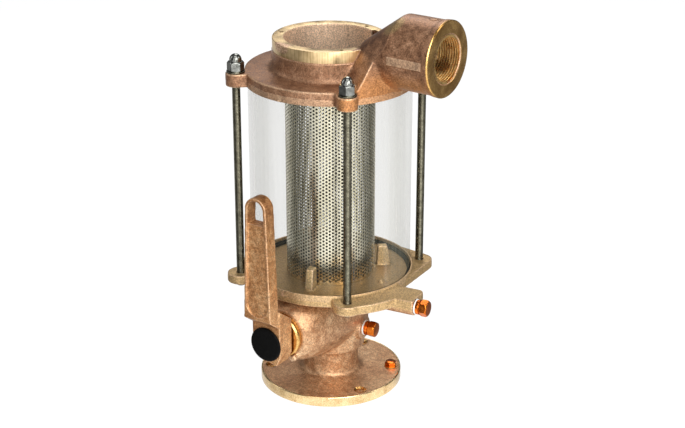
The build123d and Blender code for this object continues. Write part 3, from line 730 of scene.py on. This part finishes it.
def machined_rings():
    # the head's turned rim: outer band and top face, open at the hood
    rings = []
    for azimuth in np.linspace(24, 336, 209):
        inner = 48.05 if azimuth < 61.5 else 44.2 + 3.85 * max(0.0, (64.0 - azimuth) / 2.5)
        section = [(53.6, RIM_LOW), (54.8, RIM_LOW), (54.8, RIM_TOP),
                   (inner, RIM_TOP), (inner, RIM_TOP - 0.88), (53.6, RIM_TOP - 0.88)]
        rings.append([tuple(polar(r, azimuth, z)) for r, z in soften(section, 0.5)])
    v, f = sweep_rings(rings, cap_first=True, cap_last=True)
    band = piece("rim_band", v, f, "housing", RIM, "cast_bronze_head")
    pierce(band, [polar(LID_SCREW_CIRCLE_R, a, RIM_TOP) for a in LID_SCREW_AZIMUTHS], 2.0)
    # thin cast lips round the sight tube
    for name, (low, high), material, slot in (("base_lip", BASE_LIP, BASE_CAST, "cast_bronze"),
                                              ("head_lip", HEAD_LIP, HEAD_CAST, "cast_bronze_head")):
        section = [(LIP_INNER_R, low), (LIP_OUTER_R, low), (LIP_OUTER_R, high), (LIP_INNER_R, high)]
        piece(name, *lathe(section, 220, soft=0.35), "housing", material, slot)
    # the flange's turned edge
    v, f = lathe([(68.5, 0.0), (70.95, 0.0), (70.95, 9.3), (70.25, 10.13), (68.5, 9.6)], 220, soft=0.4)
    piece("flange_edge", v, f, "housing", EDGE, "cast_bronze")
    # bright countersinks of the three fixing holes
    for k, azimuth in enumerate(FIXING_AZIMUTHS):
        v, f = lathe([(4.3, 0.3), (4.3, 8.8), (5.7, 10.16), (6.0, 10.12), (5.2, 8.4), (5.2, 0.3)], 48)
        here = at(polar(FIXING_CIRCLE_R, azimuth))
        piece(f"fixing_hole_{k}", v, f, "housing", TURNED, "cast_bronze", place=here)
    # the raised cast ring that the service plug screws into
    v, f = lathe([(6.3, -2.0), (11.6, -2.0), (10.9, 0.0), (6.3, 0.0)], 96, soft=0.5)
    piece("service_boss", v, f, "housing", BASE_CAST, "cast_bronze", place=SERVICE)
    # the outlet's turned face and its thread
    face = [(22.7, 127.6), (35.95, 127.6), (35.95, 128.4), (35.0, 129.29), (24.0, 129.29), (22.7, 128.2)]
    v, f = lathe(face, 160, soft=0.3)
    piece("outlet_face", v, f, "housing", TURNED, "cast_bronze_head", place=OUTLET)
    v, f = helix([(0.0, 22.75), (0.1, 22.75), (0.5, 20.95), (0.6, 20.95)], 104.0, 129.0, 2.6, 72)
    piece("outlet_thread", v, f, "housing", THREAD_PAINTED_BRIGHT, "cast_bronze_head", place=OUTLET, sharp=30, mend=False)


machined_rings()


# ---------------------------------------------------------------- sight tube and seals
def tube_and_gaskets():
    v, f = lathe([(TUBE_INNER_R, TUBE_LOW), (TUBE_OUTER_R, TUBE_LOW), (TUBE_OUTER_R, TUBE_HIGH),
                  (TUBE_INNER_R, TUBE_HIGH)], 256, soft=0.5)
    piece("sight_tube", v, f, "housing", CLEAR, "clear_tube", replaces=["sight_glass"])
    # the lower seal is squeezed up highest at azimuth -22
    for name, node, inner, low, high in (("tube_seal_lower", "lower_gasket", 75.8, 118.25, 120.45),
                                         ("tube_seal_upper", "upper_gasket", 73.2, 317.55, 319.75)):
        rings = []
        for azimuth in np.linspace(0, 360, 180, endpoint=False):
            off = abs((azimuth + 22 + 180) % 360 - 180)
            rise = 0.9 + 3.0 * float(smooth_gate(62 - off, 0, 34))
            back, front, far = (low, high, high + rise) if low < TUBE_LOW else (high, low, low - 3.9)
            section = [(inner, back), (SEAL_OUTER_R, back), (SEAL_OUTER_R, far),
                       (78.82, far), (78.82, front), (inner, front)]
            rings.append([tuple(polar(r, azimuth, z)) for r, z in soften(section, 0.18, 2)])
        piece(name, *sweep_rings(rings, closed=True), "housing", RUBBER, "black_rubber", replaces=[node])


tube_and_gaskets()


# ---------------------------------------------------------------- rods, nuts, washers
def rods_and_nuts():
    crest, root = 3.96, 3.78
    rods, washers, nuts = [], [], []
    core = turned_solid([(0, 107.8), (root + 0.02, 107.8), (root + 0.02, 337.2), (0, 337.2)], 20)
    thread = helix([(0.0, crest), (0.66, crest), (0.78, root), (0.88, root)], 108.0, 337.0, 1.411, 24)
    rod = join(core, thread)
    washer = lathe([(4.1, 326.72), (8.9, 326.72), (8.9, 328.26), (4.1, 328.26)], 64, soft=0.3)
    low, flats = 328.32, 14.3
    top = low + 9.0
    levels = [(low, 7.5), (low + 0.35, 7.9), (low + 0.8, 8.5), (low + 1.2, 20.0), (top - 1.6, 20.0)]
    levels += [(top - 1.2 + 0.24 * i, 8.35 - 0.28 * i) for i in range(6)]
    levels += [(top + 0.05, 6.6)]
    head = hexagon_head(flats, levels)
    dome = [(5.85, top - 0.4), (5.9, top), (5.9, top + 1.4)]
    dome += [(5.9 * math.cos(t), top + 1.4 + 5.9 * math.sin(t)) for t in np.linspace(0.12, 1.5, 12)]
    dome = turned_solid([(0, top - 0.4)] + dome + [(0, top + 7.3)], 64)
    nut = join(head, dome)
    for k, azimuth in enumerate(ROD_AZIMUTHS):
        here = at(polar(ROD_CIRCLE_R, azimuth))
        rods.append(moved(rod, here @ turned(z=37 * k)))
        washers.append(moved(washer, here))
        nuts.append(moved(nut, here @ turned(z=15 + (0, 4, -6, 9)[k])))
    piece("threaded_rods", *join(*rods), "housing", STAINLESS, "stainless", replaces=["tie_rods"],
          mend=False, sharp=50)
    piece("nut_washers", *join(*washers), "housing", STAINLESS, "stainless", replaces=["rod_washers"])
    piece("cap_nuts", *join(*nuts), "housing", POLISHED, "polished_stainless", replaces=["acorn_nuts"],
          mend=False, sharp=40)


rods_and_nuts()


# ---------------------------------------------------------------- plugs, bolt, cap, bonnet
def pipe_plug(thread_length):
    thread = helix([(0.0, 6.75), (0.14, 6.75), (0.5, 6.1), (0.64, 6.1)], -thread_length, 1.6, 1.41, 32)
    core = turned_solid([(0, -thread_length), (6.15, -thread_length), (6.15, 1.6), (0, 1.6)], 48)
    collar = lathe([(2.0, 1.5), (7.2, 1.5), (7.2, 4.7), (6.0, 4.7), (6.0, 5.6), (2.0, 5.6)], 72, soft=0.35)
    low, high = 5.5, 13.0
    levels = [(low, 7.2), (low + 0.3, 7.6), (low + 0.8, 8.05), (low + 1.2, 8.6), (low + 1.8, 20.0)]
    levels += [(high - 2.2, 20.0)]
    levels += [(high - 1.7 + 0.28 * i, 8.4 - 0.24 * i) for i in range(6)]
    levels += [(high - 0.05, 6.75), (high, 6.4)]
    return join(thread, core, collar, hexagon_head(14.3, levels))


def tape_wrap(angles, z):
    """The uneven edge of wound thread tape."""
    return 0.16 * np.sin(angles * 3 + z * 2.0) + 0.08 * np.sin(angles * 11 + z * 5.0) - 0.2


def small_parts():
    piece("drain_plug_screw", *pipe_plug(10.0), "housing", COPPER, "copper_alloy", replaces=["drain_plug"],
          place=DRAIN @ turned(z=11), mend=False, sharp=45)
    piece("service_plug_screw", *pipe_plug(7.0), "housing", COPPER, "copper_alloy", replaces=["service_plug"],
          place=SERVICE @ turned(z=24), mend=False, sharp=45)
    tape = [(6.9, 0.02)] + [(7.75 if k % 2 else 7.5, 0.02 + 0.23 * k) for k in range(7)] + [(6.9, 1.4)]
    for name, node, place in (("drain_tape", "drain_plug_tape", DRAIN),
                              ("service_tape", "service_plug_tape", SERVICE)):
        piece(name, *lathe(tape, 96, ripple=tape_wrap), "housing", TAPE, "thread_tape", replaces=[node],
              place=place, sharp=0)
    # bonding screw in the flange
    levels = [(10.9, 6.2), (11.1, 20.0), (14.0, 20.0)]
    levels += [(14.2 + 0.18 * i, 6.15 - 0.2 * i) for i in range(5)]
    levels += [(15.1, 5.0)]
    shank = turned_solid([(0, 1.0), (3.15, 1.0), (3.15, 11.2), (0, 11.2)], 32)
    v, f = join(hexagon_head(10.5, levels), shank)
    piece("bonding_screw", v, f, "housing", COPPER, "copper_alloy", replaces=["bonding_bolt"],
          place=at(polar(FIXING_CIRCLE_R, BONDING_AZIMUTH)) @ turned(z=20), mend=False, sharp=40)
    # push-in cap over the lever's screw, with a shallow dished face
    face = turned_solid([(0, 109.45), (6.0, 109.47), (13.5, 109.56), (15.9, 109.68), (16.8, 109.3),
                         (17.25, 108.6), (17.28, 107.6), (0, 107.55)], 120)
    skirt = lathe([(10.7, 105.6), (11.9, 105.6), (11.9, 107.7), (10.7, 107.7)], 96, soft=0.2)
    piece("lever_cap", *join(face, skirt), "lever", BLACK_CAP, "black_plastic", replaces=["handle_cap"],
          place=STEM, mend=False)
    # gland nut
    line = [(9.1, 60.1), (11.9, 60.1), (11.9, 80.05), (22.0, 80.05), (22.0, 84.9), (20.6, 86.38),
            (9.1, 86.38)]
    piece("gland_nut", *lathe(line, 128, soft=0.3), "housing", TURNED, "machined_bronze", replaces=["bonnet"],
          place=STEM)


small_parts()


# ---------------------------------------------------------------- basket
COLUMNS = 90
PITCH = 3.5
COLUMN_WIDTH = PITCH * math.sin(math.radians(60))
CELL_R = PITCH / math.sqrt(3)
HOLE_R = 1.16


def round_points(radius, count):
    angles = [2 * math.pi * k / count for k in range(count)]
    return [(radius * math.cos(a), radius * math.sin(a)) for a in angles]


def hexagon_cell():
    """Corners and edge middles of the hexagon of sheet round one hole."""
    corners = round_points(CELL_R, 6)
    outline = []
    for (ax, ay), (bx, by) in zip(corners, corners[1:] + corners[:1]):
        outline += [(ax, ay), ((ax + bx) / 2, (ay + by) / 2)]
    return outline


def holed_cell(rim, cell):
    """Faces of one cell: both skins and the hole's wall.  rim and cell hold 12 points of each side."""
    faces = []
    for k in range(12):
        n = (k + 1) % 12
        faces.append((rim[0][k], cell[0][k], cell[0][n], rim[0][n]))
        faces.append((rim[1][n], cell[1][n], cell[1][k], rim[1][k]))
        faces.append((rim[0][n], rim[1][n], rim[1][k], rim[0][k]))
    return faces


def perforated_shell():
    """The basket's wall: rolled sheet with staggered, slightly tapered round holes, 60 degrees apart."""
    around = COLUMNS * COLUMN_WIDTH
    first = BASKET_LOW + 4.4
    rows = int((BASKET_HIGH - 1.8 - first - PITCH / 2) // PITCH) + 1
    outline = hexagon_cell()
    holes = [round_points(r, 12) for r in (HOLE_R, HOLE_R - 0.2)]
    index, verts, faces = {}, [], []

    def vertex(side, x, z):
        x = x % around
        key = (side, round(x, 2) % round(around, 2), round(z, 2))
        if key not in index:
            index[key] = len(verts)
            verts.append(tuple(polar((BASKET_OUTER_R, BASKET_INNER_R)[side], 360 * x / around, z)))
        return index[key]

    def plain_edge(column, lowest):
        """The sheet without holes between the last cell of a column and the basket's end."""
        cx, end = column * COLUMN_WIDTH, BASKET_LOW if lowest else BASKET_HIGH
        raised = column % 2
        z0 = first + (PITCH / 2 if raised else 0) + (-PITCH / 2 if lowest else (rows - 0.5) * PITCH)
        mid_z = z0 + (PITCH / 2 if lowest else -PITCH / 2)
        line = [(-CELL_R, mid_z), (-CELL_R * 0.75, (z0 + mid_z) / 2), (-CELL_R / 2, z0), (0, z0),
                (CELL_R / 2, z0), (CELL_R * 0.75, (z0 + mid_z) / 2), (CELL_R, mid_z)]
        if bool(raised) == lowest:
            line = line[2:5]
        for (xa, za), (xb, zb) in zip(line, line[1:]):
            corners = ((cx + xa, za), (cx + xb, zb), (cx + xb, end), (cx + xa, end))
            front, back = ([vertex(side, x, z) for x, z in corners] for side in (0, 1))
            faces.append(tuple(front))
            faces.append(tuple(back[::-1]))
            faces.append((front[3], front[2], back[2], back[3]))

    for column in range(COLUMNS):
        cx = column * COLUMN_WIDTH
        for row in range(rows):
            cz = first + row * PITCH + (PITCH / 2 if column % 2 else 0)
            rim = [[vertex(side, cx + x, cz + z) for x, z in holes[side]] for side in (0, 1)]
            cell = [[vertex(side, cx + x, cz + z) for x, z in outline] for side in (0, 1)]
            faces += holed_cell(rim, cell)
        plain_edge(column, True)
        plain_edge(column, False)
    return verts, faces


def perforated_disc(radius, z_low, z_high):
    """The basket's floor: a disc with the same staggered holes and a plain edge."""
    plain = 4.2
    span = int(radius / COLUMN_WIDTH) + 2
    verts, faces, index = [], [], {}

    def vertex(side, x, y):
        key = (side, round(x, 2), round(y, 2))
        if key not in index:
            index[key] = len(verts)
            r = math.hypot(x, y)
            if r > radius:
                x, y = x * radius / r, y * radius / r
            verts.append((x, y, (z_high, z_low)[side]))
        return index[key]

    for i in range(-span, span + 1):
        for j in range(-span, span + 1):
            cx, cy = i * COLUMN_WIDTH, j * PITCH + (PITCH / 2 if i % 2 else 0)
            reach = math.hypot(cx, cy)
            if reach > radius + PITCH * 0.55:
                continue
            cell = [[vertex(side, cx + x, cy + y) for x, y in hexagon_cell()] for side in (0, 1)]
            if reach > radius - plain:
                faces.append(tuple(cell[0]))
                faces.append(tuple(cell[1][::-1]))
                continue
            rim = [[vertex(side, cx + x, cy + y) for x, y in round_points(HOLE_R, 12)] for side in (0, 1)]
            faces += holed_cell(rim, cell)
    return verts, faces


def basket_bail():
    """Wire bail, hooked through the collar at both ends."""
    reach, foot, top, wire_r = 38.7, 325.5, 337.2, 1.22
    shoulder = foot + 2.0
    path = [Vector((-reach, 0, foot - 1.0)), Vector((-reach, 0, foot + 1.0))]
    for t in np.linspace(math.pi * 0.98, math.pi * 0.02, 40):
        path.append(Vector((reach * math.cos(t), 0, shoulder + (top - 1.5 - shoulder) * math.sin(t))))
    path += [Vector((reach, 0, foot + 1.0)), Vector((reach, 0, foot - 1.0))]
    side = Vector((0, 1, 0))
    rings = []
    for k, p in enumerate(path):
        ahead = (path[min(k + 1, len(path) - 1)] - path[max(k - 1, 0)]).normalized()
        up = ahead.cross(side)
        rings.append([tuple(p + wire_r * (math.cos(t) * side + math.sin(t) * up)) for t in full_turn(16)])
    return sweep_rings(rings, cap_first=True, cap_last=True)


def basket():
    piece("basket_wall", *perforated_shell(), "basket", BASKET, "basket_steel", replaces=["basket_shell"],
          sharp=40, mend=False)
    edge = lathe([(41.6, 124.5), (42.55, 124.5), (42.55, 125.5), (41.6, 125.5)], 140)
    floor = join(perforated_disc(42.3, 124.5, 125.5), edge)
    piece("basket_floor", *floor, "basket", BASKET, "basket_steel", replaces=["basket_bottom"],
          sharp=40, mend=False)
    ring = [(41.2, 321.0), (42.58, 321.0), (42.58, BASKET_HIGH), (41.2, BASKET_HIGH)]
    piece("basket_collar", *lathe(ring, 160, soft=0.6), "basket", BASKET, "basket_steel",
          replaces=["basket_top_ring"])
    piece("basket_handle", *basket_bail(), "basket", STAINLESS, "basket_steel", replaces=["basket_bail"])


basket()


# ---------------------------------------------------------------- stage, light, camera
def floor_paint():
    """White paper.  Other surfaces see it as a bright sweep at azimuth 50 with dimmer paper round it."""
    p = Paint("pale floor", roughness=0.9)
    p.colour(p.ramp(p.noise(400, 2), [(0.3, (0.88, 0.88, 0.88, 1)), (0.7, (0.9, 0.9, 0.9, 1))]))
    glow = p.tree.nodes.new("ShaderNodeEmission")
    glow.inputs["Strength"].default_value = 1.1
    paper = p.tree.nodes.new("ShaderNodeMixShader")
    paper.inputs[0].default_value = 0.86
    p.link(p.shader.outputs[0], paper.inputs[1])
    p.link(glow.outputs[0], paper.inputs[2])
    sweep = math.radians(50)
    reach = p.reach()
    ahead = p.plus(p.times(p.position(0), math.sin(sweep)), p.times(p.position(1), -math.cos(sweep)))
    ahead = p.math("DIVIDE", ahead, p.math("MAXIMUM", reach, 0.02))
    front = p.between(ahead, 0.0, 0.97, 0.0, 1.25)
    behind = p.between(p.times(ahead, -1.0), 0.45, 0.98, 0.0, 0.6)
    near = p.between(reach, 0.08, 0.16, 0.55, 0.0)
    bounce = p.tree.nodes.new("ShaderNodeEmission")
    p.link(p.plus(p.math("MAXIMUM", p.plus(front, behind), near), 0.24), bounce.inputs["Strength"])
    path = p.tree.nodes.new("ShaderNodeLightPath")
    pick = p.tree.nodes.new("ShaderNodeMixShader")
    p.link(path.outputs["Is Camera Ray"], pick.inputs[0])
    p.link(bounce.outputs[0], pick.inputs[1])
    p.link(paper.outputs[0], pick.inputs[2])
    p.link(pick.outputs[0], p.out.inputs["Surface"])
    return p.material


def lay_floor():
    mesh = bpy.data.meshes.new("floor")
    mesh.from_pydata([(x, y, -0.0004) for x, y in round_points(6.0, 96)], [], [tuple(range(96))])
    mesh.materials.append(floor_paint())
    floor = bpy.data.objects.new("floor", mesh)
    bpy.context.scene.collection.objects.link(floor)


def light_world():
    """White to look at, dim as a light."""
    world = bpy.data.worlds.new("studio")
    bpy.context.scene.world = world
    world.use_nodes = True
    tree = world.node_tree
    tree.nodes.clear()
    out = tree.nodes.new("ShaderNodeOutputWorld")
    path = tree.nodes.new("ShaderNodeLightPath")
    seen = tree.nodes.new("ShaderNodeMath")
    seen.operation = "MAXIMUM"
    tree.links.new(path.outputs["Is Camera Ray"], seen.inputs[0])
    tree.links.new(path.outputs["Is Transmission Ray"], seen.inputs[1])
    white, dim = (tree.nodes.new("ShaderNodeBackground") for _ in range(2))
    white.inputs["Color"].default_value = (1, 1, 1, 1)
    dim.inputs["Color"].default_value = (0.97, 0.98, 1.0, 1)
    dim.inputs["Strength"].default_value = 0.16
    pick = tree.nodes.new("ShaderNodeMixShader")
    tree.links.new(seen.outputs[0], pick.inputs[0])
    tree.links.new(dim.outputs[0], pick.inputs[1])
    tree.links.new(white.outputs[0], pick.inputs[2])
    tree.links.new(pick.outputs[0], out.inputs["Surface"])


def softbox(name, azimuth, elevation, distance, width, height, power):
    """A lamp aimed at the strainer's middle.  Azimuth 0 is the lever's side and 90 the outlet's side."""
    lamp = bpy.data.lights.new(name, "AREA")
    lamp.shape = "RECTANGLE"
    lamp.size, lamp.size_y = width, height
    lamp.energy = power
    thing = bpy.data.objects.new(name, lamp)
    a, e = math.radians(azimuth), math.radians(elevation)
    back = Vector((math.sin(a) * math.cos(e), -math.cos(a) * math.cos(e), math.sin(e)))
    thing.location = Vector((0, 0, 0.2)) + back * distance
    thing.rotation_mode = "QUATERNION"
    thing.rotation_quaternion = (-back).to_track_quat("-Z", "Y")
    thing.visible_camera = False
    bpy.context.scene.collection.objects.link(thing)


lay_floor()
light_world()
softbox("key", 60, 28, 1.5, 0.9, 1.2, 20)
softbox("strip", 37, 10, 1.5, 0.16, 1.2, 5)
softbox("fill", 14, 24, 1.5, 0.9, 1.2, 6)
softbox("right", 120, 30, 1.5, 0.5, 1.1, 4.5)
softbox("left", -62, 22, 1.5, 0.4, 1.3, 3)
softbox("back", 212, 50, 1.5, 0.6, 1.1, 7)
softbox("top", 36, 70, 1.4, 0.9, 0.8, 5)

camera = bpy.data.cameras.new("camera")
camera.lens = 85.95
camera.sensor_width = 36.0
camera.clip_start = 0.01
camera.clip_end = 50
viewer = bpy.data.objects.new("camera", camera)
viewer.location = (0.8550, -1.2180, 0.7833)
viewer.rotation_euler = (math.radians(90 - 22.205), 0.0, math.radians(34.616))
bpy.context.scene.collection.objects.link(viewer)
bpy.context.scene.camera = viewer
bpy.context.scene.view_settings.view_transform = "Standard"
